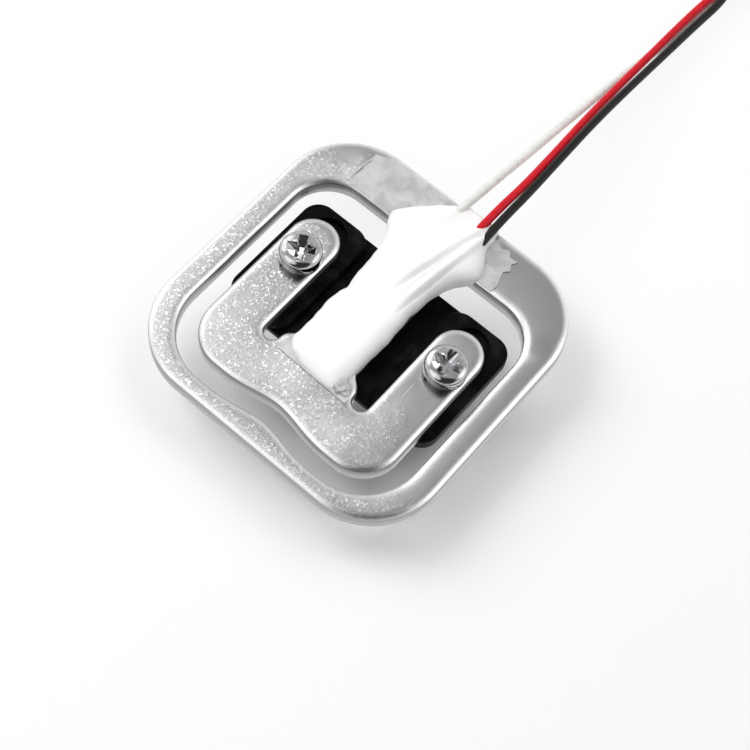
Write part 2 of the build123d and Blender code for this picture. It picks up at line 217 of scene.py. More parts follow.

# %% [markdown]
# ## Stamped steel: relief
# The punch rolls the upper edges over, and tumbling polishes them. The CAD has the roll. A Bevel
# node widens only its shading, which a modelled bevel could not do without touching the outline;
# the rims' bright bands are partly that shading and partly a painted highlight in the colour.
# Two
# bumps follow: slow waves of the rolled sheet, and the dents, which fade where the surface turns
# away from flat. Real dents are about a tenth of a millimetre, too fine to show, so they are
# drawn about three times as coarse.

# %% Relief of the plate
dent_size, wave_size, roll_width = 0.27, 2.6, 1.1
dents = add_node(tree, "ShaderNodeTexNoise", None,
                 {"Vector": place, "Scale": per_mm(dent_size), "Detail": 4.0,
                  "Roughness": 0.62, "Distortion": 0.5})
dented = add_node(tree, "ShaderNodeMath", {"operation": "MULTIPLY"},
                  {0: dents.outputs["Fac"], 1: amount.outputs[0]})
waves = add_node(tree, "ShaderNodeTexNoise", None,
                 {"Vector": place, "Scale": per_mm(wave_size), "Detail": 1.0})
rolled = add_node(tree, "ShaderNodeBevel", {"samples": 10}, {"Radius": roll_width * MM})
on_top = add_node(tree, "ShaderNodeMapRange", None,
                  {"Value": facing_up, "From Min": 0.45, "From Max": 0.75})
rim = add_node(tree, "ShaderNodeMix", {"data_type": "VECTOR"},
               {0: on_top.outputs["Result"], 4: facing, 5: rolled.outputs["Normal"]})
coarse = add_node(tree, "ShaderNodeBump", None,
                  {"Strength": 0.25, "Distance": 0.05 * MM, "Height": waves.outputs["Fac"],
                   "Normal": rim.outputs[1]})
fine = add_node(tree, "ShaderNodeBump", None,
                {"Strength": 0.6, "Distance": 0.05 * MM, "Height": dented.outputs[0],
                 "Normal": coarse.outputs["Normal"]})
tree.links.new(fine.outputs["Normal"], shader.inputs["Normal"])
print("dents of", dent_size, "mm")

# %% [markdown]
# ## Stamped steel: colour
# A metal's colour is what it reflects. The tone hardly changes. Painted glints make the ridges
# between the dents almost white, and a few scratches along the rolling direction are almost
# white too. A painted highlight makes the rims almost white; they are found by how far the
# Bevel node leans from straight up.

# %% Colour of the plate
drawn = add_node(tree, "ShaderNodeMapping", None,
                 {"Vector": place, "Rotation": (0, 0, math.radians(25)), "Scale": (16, 1, 1)})
scratches = add_node(tree, "ShaderNodeTexNoise", None,
                     {"Vector": drawn.outputs[0], "Scale": per_mm(4.0), "Detail": 3.0})
scratch = add_node(tree, "ShaderNodeMapRange", None,
                   {"Value": scratches.outputs["Fac"], "From Min": 0.68, "From Max": 0.74,
                    "To Max": 0.4})
# Painted glints: the ridges of the dents are painted almost white, as highlights.
painted_glint = add_node(tree, "ShaderNodeMapRange", None,
                 {"Value": dents.outputs["Fac"], "From Min": 0.55, "From Max": 0.65,
                  "To Max": 0.75})
painted_glint = add_node(tree, "ShaderNodeMath", {"operation": "MULTIPLY"},
                 {0: painted_glint.outputs["Result"], 1: amount.outputs[0]})
scratch_and_painted_glint = add_node(tree, "ShaderNodeMath", {"operation": "MAXIMUM"},
                  {0: painted_glint.outputs[0], 1: scratch.outputs["Result"]})
tone = add_node(tree, "ShaderNodeValToRGB", None, {"Fac": wear.outputs[0]})
tone.color_ramp.elements[0].position = 0.15
tone.color_ramp.elements[0].color = linear("#A8A9AA")
tone.color_ramp.elements[1].position = 0.90
tone.color_ramp.elements[1].color = linear("#A4A5A6")
colour = add_node(tree, "ShaderNodeMix", {"data_type": "RGBA"},
                  {0: scratch_and_painted_glint.outputs[0], 6: tone.outputs["Color"], 7: linear("#FCFCFC")})
# Painted highlight: the rolled rims are painted almost white where the Bevel node leans.
rolled_up = add_node(tree, "ShaderNodeSeparateXYZ", None,
                     {0: rolled.outputs["Normal"]}).outputs["Z"]
painted_rim_highlight = add_node(tree, "ShaderNodeMapRange", None,
                    {"Value": rolled_up, "From Min": 0.998, "From Max": 0.95})
painted_rim_highlight = add_node(tree, "ShaderNodeMath", {"operation": "MULTIPLY"},
                    {0: painted_rim_highlight.outputs["Result"], 1: on_top.outputs["Result"]})
colour = add_node(tree, "ShaderNodeMix", {"data_type": "RGBA"},
                  {0: painted_rim_highlight.outputs[0], 6: colour.outputs[2], 7: linear("#F6F6F6")})
print("scratches along 25 degrees")

# %% [markdown]
# ## Stamped steel: punched walls
# A punch shears the lower part of each wall smooth and tears the rest. The plate lies with the
# die's side up, so here the upper part of a wall is torn and dull. The height above the plate's
# underside tells the two apart.

# %% Walls of the plate
torn_from, torn_fully = plate_bottom + 0.75, plate_bottom + 0.95
wall = add_node(tree, "ShaderNodeMapRange", None,
                {"Value": facing_up, "From Min": 0.5, "From Max": 0.2})
height = add_node(tree, "ShaderNodeSeparateXYZ", None, {0: place}).outputs["Z"]
torn = add_node(tree, "ShaderNodeMapRange", None,
                {"Value": height, "From Min": torn_from * MM, "From Max": torn_fully * MM})
torn = add_node(tree, "ShaderNodeMath", {"operation": "MULTIPLY"},
                {0: wall.outputs["Result"], 1: torn.outputs["Result"]})
colour = add_node(tree, "ShaderNodeMix", {"data_type": "RGBA"},
                  {0: torn.outputs[0], 6: colour.outputs[2], 7: linear("#A6A7A9")})
sheen = add_node(tree, "ShaderNodeMapRange", None,
                 {"Value": torn.outputs[0], "To Min": 0.27, "To Max": 0.5})
tree.links.new(colour.outputs[2], shader.inputs["Base Color"])
tree.links.new(sheen.outputs["Result"], shader.inputs["Roughness"])
shader.inputs["Metallic"].default_value = 1.0
print("walls torn above", round(torn_from, 2), "mm")

# %% [markdown]
# ## Moulded black plastic
# The foot is black ABS from a spark-eroded mould, so it is dull with a very fine grain. A bump
# is enough for the grain, because it never shows in an outline. Where the foot was handled,
# faint pale smears break up the black.

# %% Material of the foot
black_abs, tree, shader, place = new_material("moulded_black_abs")
grain = add_node(tree, "ShaderNodeTexNoise", None,
                 {"Vector": place, "Scale": per_mm(0.15), "Detail": 3.0, "Roughness": 0.6})
smears = add_node(tree, "ShaderNodeTexNoise", None,
                  {"Vector": place, "Scale": per_mm(3.0), "Detail": 4.0, "Distortion": 0.8})
shade = add_node(tree, "ShaderNodeValToRGB", None, {"Fac": smears.outputs["Fac"]})
shade.color_ramp.elements[0].position = 0.50
shade.color_ramp.elements[0].color = linear("#060606")
shade.color_ramp.elements[1].position = 0.78
shade.color_ramp.elements[1].color = linear("#242424")
relief = add_node(tree, "ShaderNodeBump", None,
                  {"Strength": 0.35, "Distance": 0.02 * MM, "Height": grain.outputs["Fac"]})
tree.links.new(shade.outputs["Color"], shader.inputs["Base Color"])
tree.links.new(relief.outputs["Normal"], shader.inputs["Normal"])
shader.inputs["Roughness"].default_value = 0.55
shader.inputs["IOR"].default_value = 1.54
shader.inputs["Specular IOR Level"].default_value = 0.06
print("made", black_abs.name)

# %% [markdown]
# ## Zinc plated fasteners
# Screws and lock washers are steel with bright zinc. It is thin and slightly uneven, which a
# fine cloud shows in the tone and in the relief. The brass inserts, the solder and the gauge's
# foil differ from it only in colour, gloss and depth, so one function makes them all.

# %% Materials of the fasteners
def plated(name, code, roughness, depth):
    """A thin bright metal skin: its colour, how dull it is and how deep its clouding goes."""
    material, tree, shader, place = new_material(name)
    cloud = add_node(tree, "ShaderNodeTexNoise", None,
                     {"Vector": place, "Scale": per_mm(0.5), "Detail": 4.0})
    tint = add_node(tree, "ShaderNodeValToRGB", None, {"Fac": cloud.outputs["Fac"]})
    tint.color_ramp.elements[0].color = [c * 0.75 for c in linear(code)[:3]] + [1]
    tint.color_ramp.elements[0].position = 0.3
    tint.color_ramp.elements[1].color = linear(code)
    tint.color_ramp.elements[1].position = 0.6
    relief = add_node(tree, "ShaderNodeBump", None,
                      {"Strength": depth, "Distance": 0.03 * MM, "Height": cloud.outputs["Fac"]})
    tree.links.new(tint.outputs["Color"], shader.inputs["Base Color"])
    tree.links.new(relief.outputs["Normal"], shader.inputs["Normal"])
    shader.inputs["Metallic"].default_value = 1.0
    shader.inputs["Roughness"].default_value = roughness
    return material


zinc = plated("zinc_plated_steel", "#C9C9CB", 0.08, 0.10)
spring_zinc = plated("zinc_plated_spring_steel", "#8C8D8F", 0.2, 0.4)
turned_brass = plated("turned_brass", "#C9A45A", 0.25, 0.3)
tinned = plated("tinned_copper_strands", "#C2BFB8", 0.3, 0.5)
solder = plated("bright_tin_solder", "#C8C8CA", 0.22, 0.5)
constantan = plated("etched_constantan_foil", "#B89F7C", 0.3, 0.2)
print("made six metals")

# %% [markdown]
# ## White silicone
# The sealant is a one-part silicone, brushed on while wet. It levels into soft lumps and keeps
# a soft gloss. A plain white paint would look chalky, so a little light is let in, about as
# deep as the real rubber lets it.

# %% Material of the silicone
silicone, tree, shader, place = new_material("cured_white_silicone")
lumps = add_node(tree, "ShaderNodeTexNoise", None,
                 {"Vector": place, "Scale": per_mm(1.4), "Detail": 2.0, "Roughness": 0.4})
relief = add_node(tree, "ShaderNodeBump", None,
                  {"Strength": 0.2, "Distance": 0.06 * MM, "Height": lumps.outputs["Fac"]})
tree.links.new(relief.outputs["Normal"], shader.inputs["Normal"])
shader.inputs["Base Color"].default_value = linear("#F5F5F4")
shader.inputs["Roughness"].default_value = 0.38
shader.inputs["IOR"].default_value = 1.41
shader.inputs["Subsurface Weight"].default_value = 0.25
shader.inputs["Subsurface Radius"].default_value = (0.9 * MM, 0.8 * MM, 0.7 * MM)
shader.inputs["Subsurface Scale"].default_value = 1.0
print("made", silicone.name)

# %% [markdown]
# ## Clear adhesive
# A skin of clear glue ran out beside the silicone. It shows by its gloss, by a pale clouding,
# and by its edge, where painted shade stands in for the light that it bends away. Real
# transmission would be slow and noisy for so thin a skin, so it is partly see-through instead.

# %% Material of the adhesive
adhesive, tree, shader, place = new_material("clear_cyanoacrylate_skin")
ripple = add_node(tree, "ShaderNodeTexNoise", None,
                  {"Vector": place, "Scale": per_mm(1.9), "Detail": 2.0, "Distortion": 0.6})
relief = add_node(tree, "ShaderNodeBump", None,
                  {"Strength": 0.7, "Distance": 0.12 * MM, "Height": ripple.outputs["Fac"]})
facing = add_node(tree, "ShaderNodeTexCoord").outputs["Normal"]
facing_up = add_node(tree, "ShaderNodeSeparateXYZ", None, {0: facing}).outputs["Z"]
edge = add_node(tree, "ShaderNodeMapRange", None,
                {"Value": facing_up, "From Min": 0.80, "From Max": 0.45})
clouding = add_node(tree, "ShaderNodeMapRange", None,
                    {"Value": ripple.outputs["Fac"], "From Min": 0.38, "From Max": 0.66,
                     "To Min": 0.34, "To Max": 0.52})
# Painted shade: where the skin tilts at its edge, it is painted darker and less see-through.
cover = add_node(tree, "ShaderNodeMix", {"data_type": "FLOAT"},
                 {0: edge.outputs["Result"], 2: clouding.outputs["Result"], 3: 0.6})
tint = add_node(tree, "ShaderNodeMix", {"data_type": "RGBA"},
                {0: edge.outputs["Result"], 6: linear("#EDEDED"), 7: linear("#9A9A9A")})
tree.links.new(tint.outputs[2], shader.inputs["Base Color"])
tree.links.new(cover.outputs[0], shader.inputs["Alpha"])
tree.links.new(relief.outputs["Normal"], shader.inputs["Normal"])
shader.inputs["Roughness"].default_value = 0.08
shader.inputs["IOR"].default_value = 1.45
print("made", adhesive.name)

# %% [markdown]
# ## Insulation of the leads
# The leads are stranded copper in thin PVC. It is extruded, so it is smooth along its length,
# with a slight unevenness of the strands below, drawn by a soft noise. The three differ only
# in colour.

# %% Materials of the leads
def pvc(name, code, deep_code):
    """Soft PVC in its colour, a little deeper between the strands."""
    material, tree, shader, place = new_material(name)
    lay = add_node(tree, "ShaderNodeTexNoise", None,
                   {"Vector": place, "Scale": per_mm(0.7), "Detail": 2.0})
    tint = add_node(tree, "ShaderNodeValToRGB", None, {"Fac": lay.outputs["Fac"]})
    tint.color_ramp.elements[0].position = 0.35
    tint.color_ramp.elements[0].color = linear(deep_code)
    tint.color_ramp.elements[1].position = 0.6
    tint.color_ramp.elements[1].color = linear(code)
    relief = add_node(tree, "ShaderNodeBump", None,
                      {"Strength": 0.2, "Distance": 0.02 * MM, "Height": lay.outputs["Fac"]})
    tree.links.new(tint.outputs["Color"], shader.inputs["Base Color"])
    tree.links.new(relief.outputs["Normal"], shader.inputs["Normal"])
    shader.inputs["Roughness"].default_value = 0.36
    shader.inputs["IOR"].default_value = 1.53
    shader.inputs["Specular IOR Level"].default_value = 0.25
    return material


red_pvc = pvc("red_pvc_insulation", "#D01225", "#C40E1E")
white_pvc = pvc("white_pvc_insulation", "#E6E8E4", "#DDE0DB")
black_pvc = pvc("black_pvc_insulation", "#0C0F0C", "#060706")
print("made three colours of insulation")

# %% [markdown]
# ## Film of the strain gauge
# The gauge is glued down on amber polyimide film, hidden under the silicone. It still gets its
# finish, because someone may take the silicone off. The film is glossy and hardly uneven, so a
# soft bump under one colour is enough.

# %% Material of the gauge's film
polyimide, tree, shader, place = new_material("amber_polyimide_film")
weave = add_node(tree, "ShaderNodeTexNoise", None, {"Vector": place, "Scale": per_mm(0.8)})
relief = add_node(tree, "ShaderNodeBump", None,
                  {"Strength": 0.1, "Distance": 0.02 * MM, "Height": weave.outputs["Fac"]})
tree.links.new(relief.outputs["Normal"], shader.inputs["Normal"])
shader.inputs["Base Color"].default_value = linear("#C77A22")
shader.inputs["Roughness"].default_value = 0.2
shader.inputs["IOR"].default_value = 1.7
print("made", polyimide.name)

# %% [markdown]
# ## Finish the CAD nodes that keep their shape
# Hard, machined pieces are right as the CAD has them. They could be modelled again, but they
# would only drift from their sizes, so they just take a finish.

# %% Dress the CAD nodes
dressed = {
    "foot": black_abs,
    "threaded_insert_left": turned_brass, "threaded_insert_right": turned_brass,
    "gauge_film": polyimide, "gauge_foil": constantan,
    "inner_lead_white": white_pvc, "inner_lead_red": red_pvc, "inner_lead_black": black_pvc,
}
for colour in ("white", "red", "black"):
    dressed["solder_joint_" + colour] = solder
    dressed["bare_end_" + colour] = tinned
for name, material in dressed.items():
    nodes[name].data.materials.clear()
    nodes[name].data.materials.append(material)
print(len(dressed), "nodes dressed")

# %% [markdown]
# ## The steel plate
# The CAD mesh is made of loose triangles, which would show as facets on the round corners. The
# CAD node itself is never changed, so a merged copy is shaded smooth and stands in for it.

# %% Make the plate
plate = merged_copy("sensor_plate", "steel_plate")
hand_over(plate, steel, "stamped_steel", "sensor_plate")

# %% [markdown]
# ## The leads
# Each lead is one smooth spline from where it leaves the silicone, down to the floor, and
# into a neat flat coil that is out of the camera's view. A tube could be extruded along the
# way, but a spline bends evenly and keeps its length. The coils lie on each other, so the
# three never cross there.

# %% Routes of the leads
wire_radius = 0.45
coil_reach, coil_tail, coil_entry_x = 53.0, 4.2, 2.5
coil_outer_radius, coil_turns, turn_pitch = 7.3, 4, 0.95
coil_start = coil_reach - coil_tail
routes = {  # x, distance beyond the plate's far side, and height
    "red": [
        (2.47, -2.05, 6.20), (2.44, 1.60, 6.18), (2.52, 5.90, 5.65), (2.22, 11.40, 4.70),
        (1.75, 18.10, 3.50), (1.52, 25.30, 2.40), (1.46, 32.10, 1.65), (1.50, 37.70, 1.40),
        (1.72, 42.40, 1.30), (coil_entry_x, 46.00, 1.38), (coil_entry_x, coil_start, 1.38),
    ],
    "white": [
        (-0.45, -1.20, 6.10), (-0.22, 1.60, 5.95), (-0.10, 5.40, 5.30), (0.05, 10.20, 4.20),
        (0.10, 15.60, 3.00), (0.28, 20.50, 2.00), (0.45, 25.20, 1.20), (0.90, 30.20, 0.62),
        (1.60, 35.00, 0.46), (2.12, 40.20, 0.46), (coil_entry_x, 45.00, 0.45),
        (coil_entry_x, coil_start, 0.45),
    ],
    "black": [
        (3.55, -2.40, 6.00), (3.46, 0.90, 6.15), (3.50, 5.20, 6.00), (3.13, 11.50, 5.10),
        (2.76, 18.60, 4.10), (2.66, 25.80, 3.00), (2.72, 32.40, 2.15), (2.84, 38.20, 1.75),
        (3.20, 42.80, 1.95), (coil_entry_x, 46.20, 2.31), (coil_entry_x, coil_start, 2.31),
    ],
}
insulation = {"red": red_pvc, "white": white_pvc, "black": black_pvc}
print("routes of", ", ".join(routes))

# %% [markdown]
# ## Coil and spline
# The end of each route is wound inwards, one turn beside the other. The same points as in the
# CAD go into the spline, so the lead that is seen lies where its solids lie.

# %% Lay the leads
def coil_points(height):
    """A flat spiral that starts at the routes' end and closes inwards."""
    points_per_turn = 24
    points = []
    for step in range(coil_turns * points_per_turn + 1):
        angle = 2 * math.pi * step / points_per_turn
        radius = coil_outer_radius - turn_pitch * step / points_per_turn
        points.append((coil_entry_x - coil_outer_radius + radius * math.cos(angle),
                       coil_reach + radius * math.sin(angle), height))
    return points


def lay_lead(colour):
    """One lead as a round spline, with the coiled end that goes with it."""
    route = routes[colour] + coil_points(routes[colour][-1][2])
    curve = bpy.data.curves.new("lead_" + colour, "CURVE")
    curve.dimensions = "3D"
    curve.resolution_u = 6
    curve.bevel_depth = wire_radius * MM
    curve.bevel_resolution = 5
    curve.use_fill_caps = True
    spline = curve.splines.new("NURBS")
    spline.points.add(len(route) - 1)
    for point, (x, beyond, z) in zip(spline.points, route):
        point.co = (x * MM, (half_side + beyond) * MM, z * MM, 1)
    spline.order_u = 3
    spline.use_endpoint_u = True
    spline.use_smooth = True
    lead = bpy.data.objects.new("lead_" + colour, curve)
    bpy.context.scene.collection.objects.link(lead)
    hand_over(lead, insulation[colour], colour + "_insulation", "wire_" + colour,
              "wire_coil_" + colour)
    x, beyond, z = route[0]
    return lead


for colour in routes:
    print("laid", lay_lead(colour).name)

# %% [markdown]
# ## The silicone
# A brushed bead has no flat side: its outline wanders, it piles up over the leads and it
# hangs a little over the tongue's edges. It could be sculpted, but then nobody could change
# it by a number. So a table gives its edges and height along the tongue, as read from the
# photograph, and a curve through the table's rows is read at any place.

# %% Outline of the silicone
outline = [  # y, left edge, right edge, height above the plate
    (-7.70, 1.20, 2.60, 0.05),
    (-7.55, -1.20, 2.95, 0.30),
    (-7.20, -2.10, 3.05, 0.55),
    (-6.85, -3.00, 3.05, 0.75),
    (-6.30, -3.55, 3.15, 0.92),
    (-5.70, -3.86, 3.30, 1.02),
    (-4.90, -3.80, 3.42, 1.12),
    (-3.30, -3.72, 3.40, 1.20),
    (-1.60, -3.80, 3.38, 1.20),
    (-0.20, -3.86, 3.48, 1.18),
    (1.10, -3.62, 3.40, 1.18),
    (1.80, -3.40, 3.36, 1.20),
    (2.90, -3.62, 3.32, 1.26),
    (4.50, -3.72, 3.40, 1.42),
    (5.90, -3.80, 3.48, 1.60),
    (7.40, -3.95, 3.70, 1.72),
    (9.00, -4.40, 4.25, 1.76),
    (10.30, -5.25, 5.30, 1.74),
    (11.40, -5.70, 5.72, 1.70),
    (12.40, -5.10, 5.55, 1.64),
    (13.30, -4.40, 5.10, 1.56),
    (14.30, -3.40, 4.50, 1.42),
    (15.20, -2.60, 4.35, 1.26),
    (16.00, -1.75, 4.25, 1.02),
    (16.70, -1.00, 4.10, 0.75),
    (17.05, -0.70, 3.95, 0.50),
]


def read_outline(y, column):
    """A smooth reading of the outline's table at this y."""
    last = len(outline) - 2
    i = next((k for k in range(last) if outline[k + 1][0] >= y), last)
    t = (y - outline[i][0]) / (outline[i + 1][0] - outline[i][0])
    a, b, c, d = (outline[min(max(k, 0), last + 1)][column] for k in range(i - 1, i + 3))
    return b + 0.5 * t * (c - a + t * (2 * a - 5 * b + 4 * c - d + t * (3 * (b - c) + d - a)))


print("silicone from y", outline[0][0], "to", outline[-1][0], "mm")

# %% [markdown]
# ## Ridges over the leads
# The brush dragged the skin down beside the leads, so two of them show as ridges with a groove
# at each side. The third is deep and barely shows. The ridges fade in where the leads rise, and
# the grooves end before the leads come out.

# %% Ridges of the silicone
ridge_width = 0.42
ridges = [  # start and end of each lead's ridge under the skin, in plan, and its height
    ((0.25, 5.3), (2.50, 14.8), 0.40),
    ((1.96, 3.8), (3.50, 14.4), 0.42),
    ((-1.60, 6.5), (-0.60, 15.6), 0.16),
]


def ridge_height(x, y):
    """How far the skin stands proud over the leads, with a groove at each side."""
    height = 0
    for (x0, y0), (x1, y1), top in ridges:
        t = (y - y0) / (y1 - y0)
        if -0.15 < t < 1.2:
            aside = abs(x - x0 - (x1 - x0) * t) / ridge_width
            fade = min(1, (t + 0.15) / 0.35) * min(1, (1.2 - t) / 0.25)
            groove = 0.5 * math.exp(-8 * (aside - 1.35) ** 2)
            groove *= min(1, max(0, (0.8 - t) / 0.25))
            height += top * fade * (math.exp(-aside * aside) - groove)
    return height


print(len(ridges), "ridges")

# %% [markdown]
# ## The bead
# A grid is added and each of its points is moved on to an arch that is a little fuller than a
# half circle, so that it meets the steel steeply. Slow noise makes the edges wander and the top
# lumpy. The grid's rims meet below the plate's top, and one face closes the bead there.

# %% Shape the bead
skirt = 0.55  # how far the bead hangs below the plate's top
fullness = 2 / 3.0
edge_wander, lump_height = 0.10, 0.16
across_steps, along_steps = 72, 260
bpy.ops.object.select_all(action="DESELECT")
bpy.ops.mesh.primitive_grid_add(x_subdivisions=across_steps, y_subdivisions=along_steps, size=2)
bead = bpy.context.object
for vertex in bead.data.vertices:
    u, v = vertex.co.x, (vertex.co.y + 1) / 2
    y = outline[0][0] + v * (outline[-1][0] - outline[0][0])
    left_edge, right_edge, height = (read_outline(y, column) for column in (1, 2, 3))
    angle = math.pi * (1 - u) / 2
    across = math.copysign(abs(math.cos(angle)) ** fullness, math.cos(angle))
    rise = abs(math.sin(angle)) ** fullness
    wander = edge_wander * noise.noise(Vector((across * 0.5, y * 0.9, 3.1))) * abs(across)
    x = (left_edge + right_edge) / 2 + (right_edge - left_edge) / 2 * across + wander
    lump = lump_height * noise.noise(Vector((x * 0.45, y * 0.35, 7.7)))
    z = plate_top - skirt + (height + skirt + lump) * rise + ridge_height(x, y) * rise
    vertex.co = (x, y, z)
bead.data.transform(Matrix.Scale(MM, 4))
pick(bead)
bpy.ops.object.mode_set(mode="EDIT")
bpy.ops.mesh.select_all(action="SELECT")
bpy.ops.mesh.remove_doubles(threshold=0.001 * MM)
bpy.ops.mesh.select_all(action="DESELECT")
bpy.ops.mesh.select_non_manifold()
bpy.ops.mesh.edge_face_add()
bpy.ops.mesh.select_all(action="SELECT")
bpy.ops.mesh.normals_make_consistent(inside=False)
bpy.ops.object.mode_set(mode="OBJECT")
finish_shape(bead, "silicone_bead", 60)
hand_over(bead, silicone, "white_silicone", "silicone_coat")

# %% [markdown]
# ## The clear adhesive
# It spread out as thin skins with ragged ends: one under the silicone's near end, where a
# carrier film gives it a straight edge, and one on the ring at each side. A skin could be cut
# from a plane, but a flat outline curve takes a thickness and soft edges by itself.

# %% Lay the skins
skins = {
    "near": [(-3.98, -7.66), (4.60, -7.84), (4.63, -7.05), (4.35, -6.30), (3.40, -5.20),
             (-3.40, -5.00), (-3.95, -5.75)],
    "left": [(-11.35, 11.15), (-5.00, 11.10), (-3.20, 13.50), (-1.20, 16.00), (-1.60, 16.62),
             (-9.30, 16.62), (-9.90, 16.20), (-10.40, 15.90), (-11.20, 15.55), (-11.00, 14.60),
             (-11.20, 13.80), (-11.00, 13.00), (-11.20, 12.10)],
    "right": [(4.60, 11.10), (7.50, 11.15), (7.60, 12.10), (7.25, 12.90), (7.05, 13.70),
              (7.50, 14.20), (7.15, 14.90), (7.45, 15.50), (6.50, 15.40), (6.10, 16.00),
              (5.30, 15.60), (4.60, 16.20), (3.60, 15.60)],
}
skin_thickness, skin_edge, skin_gap = 0.13, 0.05, 0.01
glue_pieces = []
for name, points in skins.items():
    curve = bpy.data.curves.new("skin_" + name, "CURVE")
    curve.dimensions = "2D"
    curve.fill_mode = "BOTH"
    curve.extrude = (skin_thickness / 2 - skin_edge) * MM
    curve.bevel_depth = skin_edge * MM
    spline = curve.splines.new("POLY")
    spline.points.add(len(points) - 1)
    for point, (x, y) in zip(spline.points, points):
        point.co = (x * MM, y * MM, 0, 1)
    spline.use_cyclic_u = True
    skin = bpy.data.objects.new("skin_" + name, curve)
    bpy.context.scene.collection.objects.link(skin)
    skin.location.z = (plate_top + skin_thickness / 2 + skin_gap) * MM
    glue_pieces.append(skin)
print(len(glue_pieces), "skins")

# %% [markdown]
# ## Creases in the adhesive
# The left skin has puckered into raised folds. Each is a thin spline, wider where the fold is
# fuller, lying half in the skin and pressed a little flat.

# %% Lay the creases
crease_height, crease_flatness = 0.06, 0.8
creases = [  # x, y and half width along each raised crease
    [(-11.31, 10.97, 0.16), (-10.2, 11.05, 0.24), (-9.07, 11.12, 0.22), (-7.90, 11.12, 0.26),
     (-6.90, 11.15, 0.24), (-5.80, 11.10, 0.28), (-5.00, 11.00, 0.20)],
    [(-11.40, 11.25, 0.20), (-11.40, 12.50, 0.12), (-11.32, 13.85, 0.15), (-11.20, 14.80, 0.16),
     (-11.10, 15.50, 0.06)],
    [(-10.50, 12.44, 0.05), (-10.55, 13.45, 0.12), (-10.45, 14.50, 0.10), (-10.30, 15.30, 0.05)],
]
for number, points in enumerate(creases):
    curve = bpy.data.curves.new("crease_%d" % number, "CURVE")
    curve.dimensions = "3D"
    curve.bevel_depth = 1.0 * MM
    curve.bevel_resolution = 3
    curve.use_fill_caps = True
    spline = curve.splines.new("NURBS")
    spline.points.add(len(points) - 1)
    for point, (x, y, half_width) in zip(spline.points, points):
        point.co = (x * MM, y * MM, 0, 1)
        point.radius = half_width
    spline.order_u = 3
    spline.use_endpoint_u = True
    crease = bpy.data.objects.new("crease_%d" % number, curve)
    bpy.context.scene.collection.objects.link(crease)
    crease.location.z = (plate_top + crease_height) * MM
    crease.scale.z = crease_flatness
    glue_pieces.append(crease)
print(len(creases), "creases")

# %% [markdown]
# ## The drop
# A drop that set proud at the near end is a ball, squashed, dented by noise and cut flat where
# it lies. Joined with the skins, it is one piece of adhesive, as it is on the real part.

# %% Add the drop and join the adhesive
bpy.ops.object.select_all(action="DESELECT")
bpy.ops.mesh.primitive_uv_sphere_add(segments=48, ring_count=24, radius=1,
                                     location=(3.25 * MM, -6.65 * MM, (plate_top + 0.1) * MM))
drop = bpy.context.object
drop.scale = (1.05 * MM, 0.85 * MM, 0.55 * MM)
drop.rotation_euler.z = math.radians(-35)
for vertex in drop.data.vertices:
    vertex.co *= 1 + 0.28 * noise.noise(vertex.co * 2.1)
    vertex.co.z = max(vertex.co.z, -0.1)
pick(*glue_pieces)
bpy.ops.object.convert(target="MESH")
pick(drop, *glue_pieces)
bpy.ops.object.join()
finish_shape(drop, "clear_adhesive_skins", 40)
hand_over(drop, adhesive, "clear_adhesive", "adhesive_film")

# %% [markdown]
# ## The screws
# Each head is a short cylinder with a crowned top. A cut-off ball would be round in the wrong
# way, because a real crown is steep at the rim and nearly flat in the middle. So the top face
# of a cylinder is inset step by step, with steep steps first and flat ones last.

# %% Model the head
crown = (  # width and rise of each step, from the rim of the head to its middle
    (0.03, 0.10), (0.06, 0.12), (0.10, 0.12), (0.16, 0.11), (0.26, 0.10), (0.40, 0.08),
    (0.50, 0.05), (0.50, 0.02),
)
head_top = washer_top + head_height
wall_height = head_height - sum(rise for width, rise in crown)
bpy.ops.object.select_all(action="DESELECT")
bpy.ops.mesh.primitive_cylinder_add(vertices=96, radius=head_radius, depth=wall_height,
                                    location=(0, 0, washer_top + wall_height / 2))
head = bpy.context.object
bpy.ops.object.mode_set(mode="EDIT")
bpy.ops.mesh.select_all(action="DESELECT")
bpy.ops.object.mode_set(mode="OBJECT")
top = max(head.data.polygons, key=lambda face: face.center.z * (face.normal.z > 0.9))
top.select = True
bpy.ops.object.mode_set(mode="EDIT")
bpy.ops.mesh.select_mode(type="FACE")
for width, rise in crown:
    bpy.ops.mesh.inset(thickness=width, depth=rise)
bpy.ops.object.mode_set(mode="OBJECT")
print("head", round(2 * head_radius, 2), "mm across and", round(head_height, 2), "mm high")

# %% [markdown]
# ## The cross recess
# A punch presses the recess in, and it narrows as it goes down. A block with a narrow foot and
# a flared top is turned by a quarter for the second arm, and both are cut from the head. The
# edges are then eased, as zinc leaves them.

# %% Cut the recess
recess_depth, lead_in = 1.25, 0.3
arm_length, arm_width = 3.2, 1.02
narrowing, flare = 0.4, 1.13
bpy.ops.object.select_all(action="DESELECT")
bpy.ops.mesh.primitive_cube_add(size=1)
arm = bpy.context.object
arm.scale = (arm_length, arm_width, recess_depth + lead_in)
arm.location = (0, 0, head_top + (lead_in - recess_depth) / 2)
pick(arm)
bpy.ops.object.transform_apply(location=True, rotation=False, scale=True)
for vertex in arm.data.vertices:
    taper = narrowing if vertex.co.z < head_top else flare
    vertex.co.x *= taper
    vertex.co.y *= taper
bpy.ops.object.duplicate()
other_arm = bpy.context.object
other_arm.rotation_euler.z = math.pi / 2
bpy.ops.object.transform_apply(location=False, rotation=True, scale=False)
for cutter in (arm, other_arm):
    cut = head.modifiers.new("cross recess", "BOOLEAN")
    cut.operation = "DIFFERENCE"
    cut.object = cutter
    cut.solver = "EXACT"
worn = head.modifiers.new("worn edges", "BEVEL")
worn.width = 0.05
worn.segments = 2
worn.limit_method = "ANGLE"
worn.angle_limit = math.radians(35)
finish_shape(head, "pan_head_screw", 30)
